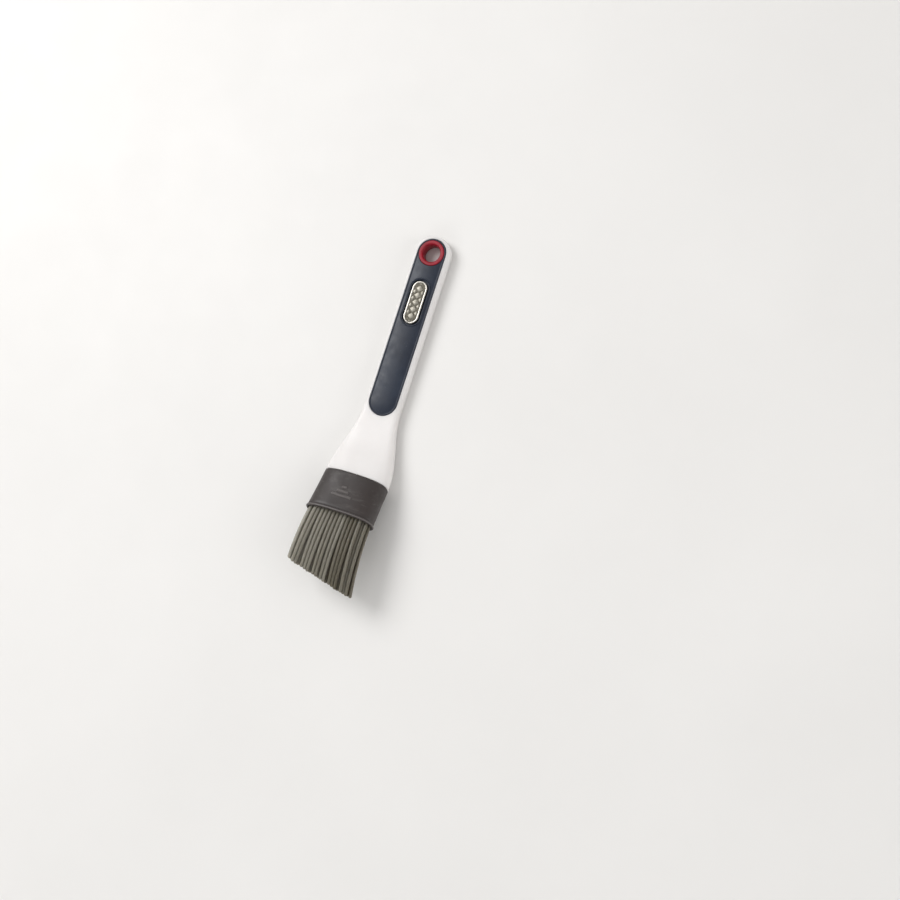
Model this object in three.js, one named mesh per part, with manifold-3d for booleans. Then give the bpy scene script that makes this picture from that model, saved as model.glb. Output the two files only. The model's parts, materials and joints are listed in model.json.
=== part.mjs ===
// Silicone pastry brush with a soft-grip handle and an angled head, lying on its back.
// Millimetres. +Z is up, out of the badge side. +Y points to the hanging end.
// +X points to the side with the longer bristles. The origin is the middle of the
// footprint, on the surface that the brush lies on.

import * as THREE from 'three';
import { mergeVertices } from 'three/addons/utils/BufferGeometryUtils.js';
import Module from 'manifold-3d';

const wasm = await Module();
wasm.setup();

// ---- Driving dimensions -------------------------------------------------------------

const LENGTH = 220;
const GAP = 0.3; // clearance between pieces that touch on the real brush

// Handle bar
const HANDLE_WIDTH = 22.2;
const HANDLE_THICKNESS = 8;
const HANDLE_EDGE = 2.4; // rounding of the long edges
const BAR_END_Y = -5; // the bar runs this far into the neck
const NECK_INSET = 0.05; // the neck starts this much inside the bar

// Grip inlays, one in each face of the handle
const GRIP_RIM = 2; // white rim left round each grip
const GRIP_END_Y = -3.4;
const GRIP_EDGE = 0.5;
const FRONT_POCKET_DEPTH = 1.8;
const FRONT_GRIP_PROUD = 0.4;
const REAR_POCKET_DEPTH = 1.4;

// Hanging ring, concentric with the round end of the handle
const RING_OUTER_RADIUS = 7.8;
const RING_INNER_RADIUS = 5.4;
const RING_EDGE = 0.6;
const RING_PROUD = 0.7; // above the front face of the handle
const RING_SUNK = 0.2; // below the back face of the handle

// Badge
const BADGE_WIDTH = 9.2;
const BADGE_LENGTH = 26.5;
const BADGE_TOP_FROM_RING = 18;
const BADGE_THICKNESS = 1.5;
const BADGE_RIM = 0.9;
const BADGE_FIELD_DEPTH = 0.5;
const BADGE_EDGE = 0.3;
const DIAMOND_COUNT = 5;
const DIAMOND_SIDES = 4;
const DIAMOND_PITCH = 4;
const DIAMOND_RADIUS = 1.5; // at its foot
const DIAMOND_TOP_RADIUS = 1.3;
const DIAMOND_FOOT = 0.25; // how deep it stands in the plate
const DIAMOND_SUNK = 0.05; // its top below the rim
const ADHESIVE_THICKNESS = 0.4;
const ADHESIVE_MARGIN = 0.8;

// Head: a lens-shaped collar tilted up from the handle
const HEAD_TILT = THREE.MathUtils.degToRad(20.5);
const SEAM_Y = -44; // where the neck meets the collar
const SEAM_WIDTH = 40.2;
const SEAM_THICKNESS = 18.6;
const COLLAR_LENGTH = 25.6;
const COLLAR_END_WIDTH = 42;
const COLLAR_END_THICKNESS = 17;
const COLLAR_EDGE = 0.8; // rounding of the collar's two rims
const COLLAR_POWER = 2.6; // superellipse exponent of the lens section
const FLARE_START_Y = 1;

// Tongue of the handle, and the socket that it fills
const TONGUE_WIDTH = 29;
const TONGUE_THICKNESS = 9;
const TONGUE_LENGTH = 18.5;
const TONGUE_POWER = 4; // superellipse exponent, nearly a rounded rectangle
const TONGUE_TAPER = 1; // how much the tip narrows on each side
const TONGUE_TAPER_LENGTH = 1.5;
const TONGUE_START = -4; // inside the neck

// Raised marks on the collar, growing towards the bristles
const MARK_LENGTHS = [3.6, 7.8, 13];
const MARK_START = 10.2;
const MARK_OFFSET = -1.5; // to the side of the shorter bristles
const MARK_PITCH = 2.7;
const MARK_WIDTH = 1.3;
const MARK_HEIGHT = 0.5;
const MARK_SUNK = 1; // how deep a mark stands in the collar
const MARK_TOP_SCALE = 0.9;

// Bristles
const LIP_WALL = 1.1; // wall of the collar round the bristle recess
const RECESS_DEPTH = 2.4;
const ROOT_DEPTH = 1.1; // hinge line of each row, inside the collar's end
const ROOT_RADIUS = 0.85;
const BRISTLE_ROOT_RADIUS = 0.8;
const BRISTLE_TIP_RADIUS = 0.74;
const BRISTLE_PITCH = 2.3;
const ROW_PITCH = 2.15;
const ROW_COUNTS = [13, 16, 17, 16, 13]; // back row first, each staggered against the next
const TIP_FLARE = 1.17; // spread of the tips against the roots
const CUT_ANGLE = THREE.MathUtils.degToRad(14.3);
const SWEEP = THREE.MathUtils.degToRad(28); // turn of a bristle over its reference length
const SWEEP_LENGTH = 38;

// Facets
const ARC_STEPS = 14;
const CORNER_STEPS = 8; // points in each quarter of a lofted section
const FINE_EDGE = 1; // roundings up to this size take fewer facets
const BEVEL_STEPS = 4;
const FINE_BEVEL_STEPS = 2;
const NECK_STEPS = 14;
const COLLAR_STEPS = 5;
const RING_STEPS = 32;
const BRISTLE_SIDES = 6;
const BRISTLE_TURN = 0.25; // share of a side by which the sections are turned
const BRISTLE_STEPS = 3;
const BAR_SIDES = 10;
const OVERCUT = 1; // how far a cutting solid runs past the face that it cuts

// ---- Derived sizes ------------------------------------------------------------------

const END_RADIUS = HANDLE_WIDTH / 2;
const RING_Y = LENGTH / 2 - END_RADIUS;
const GRIP_HALF_WIDTH = END_RADIUS - GRIP_RIM;
const SEAM_Z = (SEAM_THICKNESS / 2) * Math.cos(HEAD_TILT); // puts the collar's heel at z = 0
const NECK_RADIUS = (SEAM_Z - HANDLE_THICKNESS / 2) / (1 - Math.cos(HEAD_TILT));
const NECK_START_Y = SEAM_Y + NECK_RADIUS * Math.sin(HEAD_TILT);
const ROOT_ALONG = COLLAR_LENGTH - ROOT_DEPTH;
const WIDEST_ROOT = ((Math.max(...ROW_COUNTS) - 1) / 2) * BRISTLE_PITCH;
const WIDEST_TIP = WIDEST_ROOT * TIP_FLARE;
const TIP_MIDDLE_Y = -LENGTH / 2 + WIDEST_TIP * Math.tan(CUT_ANGLE);

// ---- Materials ----------------------------------------------------------------------

const material = (color, roughness, metalness = 0) =>
  new THREE.MeshStandardMaterial({ color, roughness, metalness });

const whitePlastic = material('#ebe8e8', 0.35);
const softGrip = material('#39414b', 0.6);
const redPlastic = material('#a8323c', 0.35);
const nickel = material('#c8c2b8', 0.3, 1);
const adhesive = material('#d8d8d0', 0.8);
const collarSilicone = material('#504b4e', 0.55);
const bristleSilicone = material('#736f64', 0.45);

// ---- Solids -------------------------------------------------------------------------

function solid(geometry) {
  geometry.deleteAttribute('normal');
  geometry.deleteAttribute('uv');
  const merged = mergeVertices(geometry, 1e-4);
  const vertProperties = new Float32Array(merged.attributes.position.array);
  const triVerts = new Uint32Array(merged.index.array);
  return new wasm.Manifold(new wasm.Mesh({ numProp: 3, vertProperties, triVerts }));
}

function mesh(name, body, surface) {
  const { vertProperties, triVerts } = body.getMesh();
  const geometry = new THREE.BufferGeometry();
  geometry.setAttribute('position', new THREE.BufferAttribute(vertProperties, 3));
  geometry.setIndex(new THREE.BufferAttribute(triVerts, 1));
  geometry.computeVertexNormals();
  const result = new THREE.Mesh(geometry, surface);
  result.name = name;
  return result;
}

// Skin over a list of sections, each a ring of the same number of points, anticlockwise
// when seen from the last section.
function loft(sections) {
  const count = sections[0].length;
  const points = sections.flat();
  const centre = (ring) =>
    ring.reduce((sum, p) => sum.add(p), new THREE.Vector3()).divideScalar(count);
  const first = points.push(centre(sections[0])) - 1;
  const last = points.push(centre(sections.at(-1))) - 1;
  const index = [];
  const tail = (sections.length - 1) * count;
  for (let i = 0; i < count; i += 1) {
    const j = (i + 1) % count;
    for (let k = 0; k < tail; k += count) {
      index.push(k + i, k + j, k + count + j, k + i, k + count + j, k + count + i);
    }
    index.push(first, j, i);
    index.push(last, tail + i, tail + j);
  }
  const geometry = new THREE.BufferGeometry().setFromPoints(points);
  geometry.setIndex(index);
  return solid(geometry);
}

// Upright plate with a half-round end at the top, and at the bottom unless it is square.
function plate(halfWidth, topY, bottomY, lowZ, highZ, edge = 0, squareEnd = false) {
  const shape = new THREE.Shape();
  const topCentre = topY - halfWidth;
  shape.absarc(0, topCentre, halfWidth, 0, Math.PI, false);
  if (squareEnd) {
    shape.lineTo(-halfWidth, bottomY);
    shape.lineTo(halfWidth, bottomY);
  } else {
    shape.absarc(0, bottomY + halfWidth, halfWidth, Math.PI, 2 * Math.PI, false);
  }
  shape.closePath();
  const geometry = new THREE.ExtrudeGeometry(shape, {
    depth: highZ - lowZ - 2 * edge,
    curveSegments: ARC_STEPS,
    bevelEnabled: edge > 0,
    bevelThickness: edge,
    bevelSize: edge,
    bevelOffset: -edge,
    bevelSegments: edge > FINE_EDGE ? BEVEL_STEPS : FINE_BEVEL_STEPS,
  });
  geometry.translate(0, 0, lowZ + edge);
  return solid(geometry);
}

function disc(radius, y, lowZ, highZ) {
  const geometry = new THREE.CylinderGeometry(radius, radius, highZ - lowZ, RING_STEPS);
  geometry.rotateX(Math.PI / 2);
  geometry.translate(0, y, (lowZ + highZ) / 2);
  return solid(geometry);
}

// ---- Sections -----------------------------------------------------------------------

const smoothstep = (t) => t * t * (3 - 2 * t);

// Quarter turns of a section: [x, out] pairs, anticlockwise seen from +Y.
function sectionOutline(quarter) {
  const outline = [];
  for (let q = 0; q < 4; q += 1) {
    for (let k = 0; k < CORNER_STEPS; k += 1) {
      const reverse = q % 2 === 1;
      const [x, out] = quarter(reverse ? CORNER_STEPS - 1 - k : k);
      outline.push([q === 0 || q === 3 ? x : -x, q < 2 ? out : -out]);
    }
  }
  return outline;
}

const roundedBar = (halfWidth, halfThickness, edge) =>
  sectionOutline((k) => {
    const turn = ((k / (CORNER_STEPS - 1)) * Math.PI) / 2;
    return [
      halfWidth - edge + edge * Math.cos(turn),
      halfThickness - edge + edge * Math.sin(turn),
    ];
  });

const lens = (halfWidth, halfThickness, power = COLLAR_POWER) =>
  sectionOutline((k) => {
    const turn = (((k + 0.5) / CORNER_STEPS) * Math.PI) / 2;
    return [
      halfWidth * Math.cos(turn) ** (2 / power),
      halfThickness * Math.sin(turn) ** (2 / power),
    ];
  });

// A section placed across the centre line, which climbs towards -Y at the angle given.
function place(outline, y, z, climb) {
  return outline.map(
    ([x, out]) => new THREE.Vector3(x, y + out * Math.sin(climb), z + out * Math.cos(climb)),
  );
}

// A point of the head: x across it, down from the seam to the bristles, out to the front.
function headPoint(x, down, out) {
  return new THREE.Vector3(
    x,
    SEAM_Y - down * Math.cos(HEAD_TILT) + out * Math.sin(HEAD_TILT),
    SEAM_Z + down * Math.sin(HEAD_TILT) + out * Math.cos(HEAD_TILT),
  );
}

const headSection = (outline, down) => outline.map(([x, out]) => headPoint(x, down, out));

// ---- Handle -------------------------------------------------------------------------

// The neck climbs and thickens towards the head, and its back stays on the surface.
function neck() {
  const straight = FLARE_START_Y - NECK_START_Y;
  const total = straight + NECK_RADIUS * HEAD_TILT;
  const halfWidth = END_RADIUS - NECK_INSET;
  const halfThickness = HANDLE_THICKNESS / 2 - NECK_INSET;
  const sections = [];
  for (let i = -1; i <= NECK_STEPS; i += 1) {
    const travel = (total * i) / NECK_STEPS;
    const blend = smoothstep(Math.max(0, i / NECK_STEPS));
    const climb = Math.max(0, travel - straight) / NECK_RADIUS;
    const y = FLARE_START_Y - Math.min(travel, straight) - NECK_RADIUS * Math.sin(climb);
    const z = HANDLE_THICKNESS / 2 + NECK_RADIUS * (1 - Math.cos(climb));
    const wide = THREE.MathUtils.lerp(halfWidth, SEAM_WIDTH / 2, blend);
    const thick = THREE.MathUtils.lerp(halfThickness, SEAM_THICKNESS / 2, blend);
    const bar = roundedBar(wide, thick, HANDLE_EDGE);
    const oval = lens(wide, thick);
    const backShare = Math.min(1, z / (thick * Math.cos(climb)));
    const outline = bar.map(([x, out], k) => {
      const reach = THREE.MathUtils.lerp(out, oval[k][1], blend);
      return [THREE.MathUtils.lerp(x, oval[k][0], blend), reach < 0 ? reach * backShare : reach];
    });
    sections.push(place(outline, y, z, climb));
  }
  return loft(sections);
}

function tongue() {
  const section = (inset) =>
    lens(TONGUE_WIDTH / 2 - inset, TONGUE_THICKNESS / 2 - inset, TONGUE_POWER);
  return loft([
    headSection(section(0), TONGUE_START),
    headSection(section(0), TONGUE_LENGTH - TONGUE_TAPER_LENGTH),
    headSection(section(TONGUE_TAPER), TONGUE_LENGTH),
  ]);
}

function handleBody() {
  const bar = plate(
    END_RADIUS,
    LENGTH / 2,
    BAR_END_Y,
    0,
    HANDLE_THICKNESS,
    HANDLE_EDGE,
    true,
  );
  const gripTop = RING_Y + GRIP_HALF_WIDTH;
  const frontFloor = HANDLE_THICKNESS - FRONT_POCKET_DEPTH;
  const above = HANDLE_THICKNESS + OVERCUT;
  return bar
    .add(neck())
    .add(tongue())
    .subtract(plate(GRIP_HALF_WIDTH, gripTop, GRIP_END_Y, frontFloor, above))
    .subtract(plate(GRIP_HALF_WIDTH, gripTop, GRIP_END_Y, -OVERCUT, REAR_POCKET_DEPTH))
    .subtract(disc(RING_OUTER_RADIUS + GAP, RING_Y, -OVERCUT, above));
}

// ---- Grips, ring and badge ----------------------------------------------------------

const badgeTop = RING_Y - BADGE_TOP_FROM_RING;
const badgeBottom = badgeTop - BADGE_LENGTH;
const badgeHalf = BADGE_WIDTH / 2;

function frontGrip() {
  const top = HANDLE_THICKNESS + FRONT_GRIP_PROUD;
  const bottom = HANDLE_THICKNESS - FRONT_POCKET_DEPTH + GAP;
  const half = GRIP_HALF_WIDTH - GAP;
  const below = bottom - OVERCUT;
  const above = top + OVERCUT;
  return plate(half, RING_Y + half, GRIP_END_Y + GAP, bottom, top, GRIP_EDGE)
    .subtract(disc(RING_OUTER_RADIUS + GAP, RING_Y, below, above))
    .subtract(plate(badgeHalf + GAP, badgeTop + GAP, badgeBottom - GAP, below, above));
}

function rearGrip() {
  const top = REAR_POCKET_DEPTH - GAP;
  const half = GRIP_HALF_WIDTH - GAP;
  return plate(half, RING_Y + half, GRIP_END_Y + GAP, 0, top).subtract(
    disc(RING_OUTER_RADIUS + GAP, RING_Y, -OVERCUT, top + OVERCUT),
  );
}

function hangingRing() {
  const low = RING_SUNK;
  const high = HANDLE_THICKNESS + RING_PROUD;
  const edge = RING_EDGE;
  const section = [
    [RING_INNER_RADIUS, low + edge],
    [RING_INNER_RADIUS + edge, low],
    [RING_OUTER_RADIUS - edge, low],
    [RING_OUTER_RADIUS, low + edge],
    [RING_OUTER_RADIUS, high - edge],
    [RING_OUTER_RADIUS - edge, high],
    [RING_INNER_RADIUS + edge, high],
    [RING_INNER_RADIUS, high - edge],
    [RING_INNER_RADIUS, low + edge],
  ].map(([radius, z]) => new THREE.Vector2(radius, z));
  const geometry = new THREE.LatheGeometry(section, RING_STEPS);
  geometry.rotateX(Math.PI / 2);
  geometry.translate(0, RING_Y, 0);
  return solid(geometry);
}

const adhesiveBottom = HANDLE_THICKNESS - FRONT_POCKET_DEPTH + GAP;
const badgeZ = adhesiveBottom + ADHESIVE_THICKNESS + GAP;

function badgeAdhesive() {
  return plate(
    badgeHalf - ADHESIVE_MARGIN,
    badgeTop - ADHESIVE_MARGIN,
    badgeBottom + ADHESIVE_MARGIN,
    adhesiveBottom,
    adhesiveBottom + ADHESIVE_THICKNESS,
  );
}

// A raised rim round a sunk field, with a plain row of diamonds standing in the field.
function badgePlate() {
  const top = badgeZ + BADGE_THICKNESS;
  const field = top - BADGE_FIELD_DEPTH;
  const inside = badgeHalf - BADGE_RIM;
  let body = plate(badgeHalf, badgeTop, badgeBottom, badgeZ, top, BADGE_EDGE).subtract(
    plate(inside, badgeTop - BADGE_RIM, badgeBottom + BADGE_RIM, field, top + OVERCUT),
  );
  const middle = (badgeTop + badgeBottom) / 2;
  const low = field - DIAMOND_FOOT;
  const high = top - DIAMOND_SUNK;
  for (let k = 0; k < DIAMOND_COUNT; k += 1) {
    const diamond = new THREE.CylinderGeometry(
      DIAMOND_TOP_RADIUS,
      DIAMOND_RADIUS,
      high - low,
      DIAMOND_SIDES,
    );
    const y = middle + (k - (DIAMOND_COUNT - 1) / 2) * DIAMOND_PITCH;
    diamond.rotateX(Math.PI / 2);
    diamond.translate(0, y, (low + high) / 2);
    body = body.add(solid(diamond));
  }
  return body;
}

// ---- Head ---------------------------------------------------------------------------

function collarHalf(down) {
  const t = down / COLLAR_LENGTH;
  return [
    THREE.MathUtils.lerp(SEAM_WIDTH, COLLAR_END_WIDTH, t) / 2,
    THREE.MathUtils.lerp(SEAM_THICKNESS, COLLAR_END_THICKNESS, t) / 2,
  ];
}

function collarShell() {
  const sections = [];
  const ring = (down, inset) => {
    const [wide, thick] = collarHalf(down);
    sections.push(headSection(lens(wide - inset, thick - inset), down));
  };
  ring(GAP, COLLAR_EDGE / 2);
  ring(GAP + COLLAR_EDGE / 2, 0);
  for (let i = 1; i < COLLAR_STEPS; i += 1) {
    ring((COLLAR_LENGTH * i) / COLLAR_STEPS, 0);
  }
  ring(COLLAR_LENGTH - COLLAR_EDGE, 0);
  ring(COLLAR_LENGTH, COLLAR_EDGE / 2);
  return loft(sections);
}

function collarSocket() {
  const outline = lens(TONGUE_WIDTH / 2 + GAP, TONGUE_THICKNESS / 2 + GAP, TONGUE_POWER);
  return loft([headSection(outline, -OVERCUT), headSection(outline, TONGUE_LENGTH + GAP)]);
}

const recessHalf = [COLLAR_END_WIDTH / 2 - LIP_WALL, COLLAR_END_THICKNESS / 2 - LIP_WALL];

function collarRecess() {
  const outline = lens(...recessHalf);
  return loft([
    headSection(outline, COLLAR_LENGTH - RECESS_DEPTH),
    headSection(outline, COLLAR_LENGTH + OVERCUT),
  ]);
}

function collarMark(index) {
  const down = MARK_START + index * MARK_PITCH;
  const reach = (MARK_LENGTHS[index] - MARK_WIDTH) / 2;
  const front = collarHalf(down)[1];
  const outline = [];
  for (let k = 0; k < 2 * CORNER_STEPS; k += 1) {
    const turn = ((k + 0.5) / CORNER_STEPS) * Math.PI;
    const side = Math.sign(Math.cos(turn));
    outline.push([
      side * reach + (MARK_WIDTH / 2) * Math.cos(turn),
      (MARK_WIDTH / 2) * Math.sin(turn),
    ]);
  }
  const ring = (out, scale) =>
    outline.map(([x, dy]) => headPoint(MARK_OFFSET + x * scale, down - dy * scale, out));
  return loft([
    ring(front - MARK_SUNK, 1),
    ring(front + MARK_HEIGHT / 2, 1),
    ring(front + MARK_HEIGHT, MARK_TOP_SCALE),
  ]);
}

function headCollar() {
  let body = collarShell().subtract(collarSocket()).subtract(collarRecess());
  MARK_LENGTHS.forEach((_, index) => {
    body = body.add(collarMark(index));
  });
  return body;
}

// ---- Bristles -----------------------------------------------------------------------

// A bristle leaves the collar along the head and turns steadily back, in the YZ plane.
function bristle(rootX, out) {
  const root = headPoint(rootX, ROOT_ALONG, out);
  const tipX = rootX * TIP_FLARE;
  const tipY = TIP_MIDDLE_Y - tipX * Math.tan(CUT_ANGLE);
  const turnRate = SWEEP / SWEEP_LENGTH;
  const endClimb = Math.asin(Math.sin(HEAD_TILT) - turnRate * (root.y - tipY));
  const length = (HEAD_TILT - endClimb) / turnRate;
  const sections = [];
  for (let i = 0; i <= BRISTLE_STEPS; i += 1) {
    const t = i / BRISTLE_STEPS;
    const climb = HEAD_TILT - turnRate * length * t;
    const y = root.y - (Math.sin(HEAD_TILT) - Math.sin(climb)) / turnRate;
    const z = root.z + (Math.cos(climb) - Math.cos(HEAD_TILT)) / turnRate;
    const x = THREE.MathUtils.lerp(rootX, tipX, t);
    const radius = THREE.MathUtils.lerp(BRISTLE_ROOT_RADIUS, BRISTLE_TIP_RADIUS, t);
    const outline = [];
    for (let k = 0; k < BRISTLE_SIDES; k += 1) {
      const turn = (2 * Math.PI * (k + BRISTLE_TURN)) / BRISTLE_SIDES;
      outline.push([radius * Math.cos(turn), radius * Math.sin(turn)]);
    }
    sections.push(place(outline, y, z, climb).map((p) => p.setX(p.x + x)));
  }
  return loft(sections);
}

// One row: its bristles stand on a thin bar that lies along the row's hinge line.
function bristleRow(index) {
  const count = ROW_COUNTS[index];
  const out = (index - (ROW_COUNTS.length - 1) / 2) * ROW_PITCH;
  const reach = ((count - 1) / 2) * BRISTLE_PITCH;
  const centre = headPoint(0, ROOT_ALONG, out);
  const width = 2 * (reach + ROOT_RADIUS);
  const bar = new THREE.CylinderGeometry(ROOT_RADIUS, ROOT_RADIUS, width, BAR_SIDES);
  bar.rotateZ(Math.PI / 2);
  bar.translate(centre.x, centre.y, centre.z);
  let body = solid(bar);
  for (let i = 0; i < count; i += 1) {
    body = body.add(bristle(-reach + i * BRISTLE_PITCH, out));
  }
  return body;
}

// ---- Assembly -----------------------------------------------------------------------

const brush = new THREE.Group();
brush.add(mesh('handle_body', handleBody(), whitePlastic));
brush.add(mesh('front_grip', frontGrip(), softGrip));
brush.add(mesh('rear_grip', rearGrip(), softGrip));
brush.add(mesh('hanging_ring', hangingRing(), redPlastic));
brush.add(mesh('badge_adhesive', badgeAdhesive(), adhesive));
brush.add(mesh('badge_plate', badgePlate(), nickel));
brush.add(mesh('head_collar', headCollar(), collarSilicone));
ROW_COUNTS.forEach((_, index) => {
  brush.add(mesh(`bristle_row_${index + 1}`, bristleRow(index), bristleSilicone));
});

export default brush;
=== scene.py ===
import json
import math
import random

import bmesh
import bpy
import numpy as np
from mathutils import Matrix, Vector


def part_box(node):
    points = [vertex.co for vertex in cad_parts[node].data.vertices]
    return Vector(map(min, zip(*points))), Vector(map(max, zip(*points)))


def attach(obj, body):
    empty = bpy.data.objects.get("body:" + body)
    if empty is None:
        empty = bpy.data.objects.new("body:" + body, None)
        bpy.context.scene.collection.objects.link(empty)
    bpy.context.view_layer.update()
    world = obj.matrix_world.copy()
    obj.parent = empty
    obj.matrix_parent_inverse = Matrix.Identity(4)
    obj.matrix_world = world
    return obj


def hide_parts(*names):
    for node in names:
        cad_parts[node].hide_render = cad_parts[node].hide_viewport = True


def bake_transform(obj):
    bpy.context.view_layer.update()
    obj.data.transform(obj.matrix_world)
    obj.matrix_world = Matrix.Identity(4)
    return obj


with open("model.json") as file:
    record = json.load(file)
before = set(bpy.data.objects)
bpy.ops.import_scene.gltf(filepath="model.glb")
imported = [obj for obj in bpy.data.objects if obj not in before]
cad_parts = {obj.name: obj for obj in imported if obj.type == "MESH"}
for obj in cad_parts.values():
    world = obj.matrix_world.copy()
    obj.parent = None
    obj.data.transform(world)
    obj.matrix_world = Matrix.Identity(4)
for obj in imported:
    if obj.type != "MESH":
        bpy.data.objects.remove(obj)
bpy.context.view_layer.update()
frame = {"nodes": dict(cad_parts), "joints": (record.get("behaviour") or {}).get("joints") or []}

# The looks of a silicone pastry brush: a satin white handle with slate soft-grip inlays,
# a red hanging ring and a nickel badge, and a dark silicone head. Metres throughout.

MM = 0.001
SHARP = 40  # degrees; steeper edges than this aren't shaded smooth
JOINTS = {joint["name"]: joint for joint in frame["joints"]}

# ---- Places and sizes ---------------------------------------------------------------

HANDLE_THICKNESS = 8 * MM
HANDLE_EDGE = 2.4 * MM
HANDLE_END_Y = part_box("handle_body")[1].y
RING_LOW, RING_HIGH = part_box("hanging_ring")
RING_RADIUS = (RING_HIGH.x - RING_LOW.x) / 2
RING_INNER_RADIUS = 5.4 * MM
RING_Y = (RING_LOW.y + RING_HIGH.y) / 2
HANDLE_HALF_WIDTH = HANDLE_END_Y - RING_Y

GAP = 0.3 * MM  # between neighbouring pieces of the frame
FIT = 0.12 * MM  # between neighbouring pieces here
GRIP_LOW, GRIP_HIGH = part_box("front_grip")
POCKET_HALF = GRIP_HIGH.x + GAP
POCKET_END_Y = GRIP_LOW.y - GAP
POCKET_FLOOR = GRIP_LOW.z - GAP
REAR_POCKET_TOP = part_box("rear_grip")[1].z + GAP
GRIP_HALF = POCKET_HALF - FIT
GRIP_SHOULDER = 0.58 * MM  # radius of the front grip's rounded edge
GRIP_SHOULDER_Z = GRIP_HIGH.z - 0.1 * MM
GRIP_VALLEY = 1.2 * MM  # how far in from its edge the crown starts, in a shallow valley
GRIP_VALLEY_Z = GRIP_SHOULDER_Z - 0.24 * MM
GRIP_CROWN_Z = GRIP_HIGH.z + 0.35 * MM
CROWN_POWER = 2.2  # the higher, the flatter the middle of the crown
BADGE_LOW, BADGE_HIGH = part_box("badge_plate")
BADGE_FOOT_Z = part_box("badge_adhesive")[1].z

# The head's own frame: down its axis from the seam with the neck, and out of its front
ROW_COUNTS = (13, 16, 17, 16, 13)  # bristles in each row, from the back to the front
ROWS = len(ROW_COUNTS)
MIDDLE_ROW = (ROWS + 1) // 2
COLUMNS = max(ROW_COUNTS)
HEAD_AXIS = Vector(JOINTS["head_pull"]["axis"]).normalized()
HEAD_TILT = math.atan2(HEAD_AXIS.z, -HEAD_AXIS.y)
HEAD_FRONT = Vector((0, math.sin(HEAD_TILT), math.cos(HEAD_TILT)))
COLLAR_LENGTH = 25.6 * MM
ROOT_DEPTH = 1.1 * MM
RECESS_FLOOR = COLLAR_LENGTH - 2.4 * MM
LIP_WALL = 0.6 * MM
ROOT_ALONG = COLLAR_LENGTH - ROOT_DEPTH
SEAM = Vector(JOINTS[f"row_{MIDDLE_ROW}_bend"]["pos_m"]) - HEAD_AXIS * ROOT_ALONG
SEAM_HALF = (20.1 * MM, 9.3 * MM)
COLLAR_END_HALF = (21 * MM, 8.5 * MM)
COLLAR_POWER = 2.6  # superellipse exponent of the head's lens section
WAIST = 0.12 * MM  # how far the collar is drawn in halfway along
TONGUE_HALF = (14.5 * MM, 4.5 * MM)
TONGUE_LENGTH = 18.5 * MM
TONGUE_POWER = 4
FLARE_START_Y = 1 * MM
NECK_RADIUS = (SEAM.z - HANDLE_THICKNESS / 2) / (1 - math.cos(HEAD_TILT))
NECK_START_Y = SEAM.y + NECK_RADIUS * math.sin(HEAD_TILT)

ROW_PITCH = 2.15 * MM
ROOT_PITCH = 2.37 * MM
TIP_PITCH = 2.69 * MM
ROOT_RADIUS = 1.1 * MM
TIP_RADIUS = 1.02 * MM
FOOT_DEPTH = 0.2 * MM  # how far a bristle's foot goes into the collar
FOOT_SPREAD = 0.08 * MM
FOOT_FADE = 0.7 * MM  # over how much of its length the foot's spread dies away
FLATNESS = 0.8  # a bristle's thickness as a share of its width, to keep the rows apart at rest
GATHER = 0.08  # how much the rows close up towards their tips
CUT_ANGLE = math.radians(14.3)
SWEEP_RATE = math.radians(28) / (38 * MM)  # how fast a bristle curves back along its length
WIDEST_TIP = (COLUMNS - 1) / 2 * TIP_PITCH
TIP_MIDDLE_Y = -HANDLE_END_Y + WIDEST_TIP * math.tan(CUT_ANGLE)

CLEAR = 3 * MM  # how far a cutter runs past the face that it cuts


# ---- Mesh tools ---------------------------------------------------------------------

def lerp(a, b, t):
    return a + (b - a) * t


def smoothstep(t):
    t = min(1.0, max(0.0, t))
    return t * t * (3 - 2 * t)


def skin(rings, closed=False, cap_first=True):
    """Points and faces over rings that have one count of points each.

    The ends are capped, unless the rings close on themselves; `cap_first` is for the first end.
    """
    count = len(rings[0])
    points = [point for ring in rings for point in ring]
    faces = []
    spans = len(rings) if closed else len(rings) - 1
    for r in range(spans):
        a, b = r * count, (r + 1) % len(rings) * count
        for i in range(count):
            j = (i + 1) % count
            faces.append((a + i, a + j, b + j, b + i))
    if not closed:
        faces.append(tuple(range(len(points) - count, len(points))))
    if cap_first and not closed:
        faces.append(tuple(reversed(range(count))))
    return points, faces


def build(name, shells, material, sharp=SHARP, weld=True):
    """One object from (points, faces) shells, shaded smooth but for edges over `sharp`."""
    shape = bmesh.new()
    for points, faces in shells:
        made = [shape.verts.new(point) for point in points]
        for face in faces:
            shape.faces.new([made[i] for i in face])
    if weld:
        bmesh.ops.remove_doubles(shape, verts=shape.verts, dist=1e-6)
        bmesh.ops.dissolve_degenerate(shape, edges=shape.edges, dist=1e-7)
    bmesh.ops.recalc_face_normals(shape, faces=shape.faces)
    mesh = bpy.data.meshes.new(name)
    shape.to_mesh(mesh)
    shape.free()
    mesh.materials.append(material)
    mesh.polygons.foreach_set("use_smooth", [True] * len(mesh.polygons))
    mesh.set_sharp_from_angle(angle=math.radians(sharp))
    piece = bpy.data.objects.new(name, mesh)
    bpy.context.scene.collection.objects.link(piece)
    return piece


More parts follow.
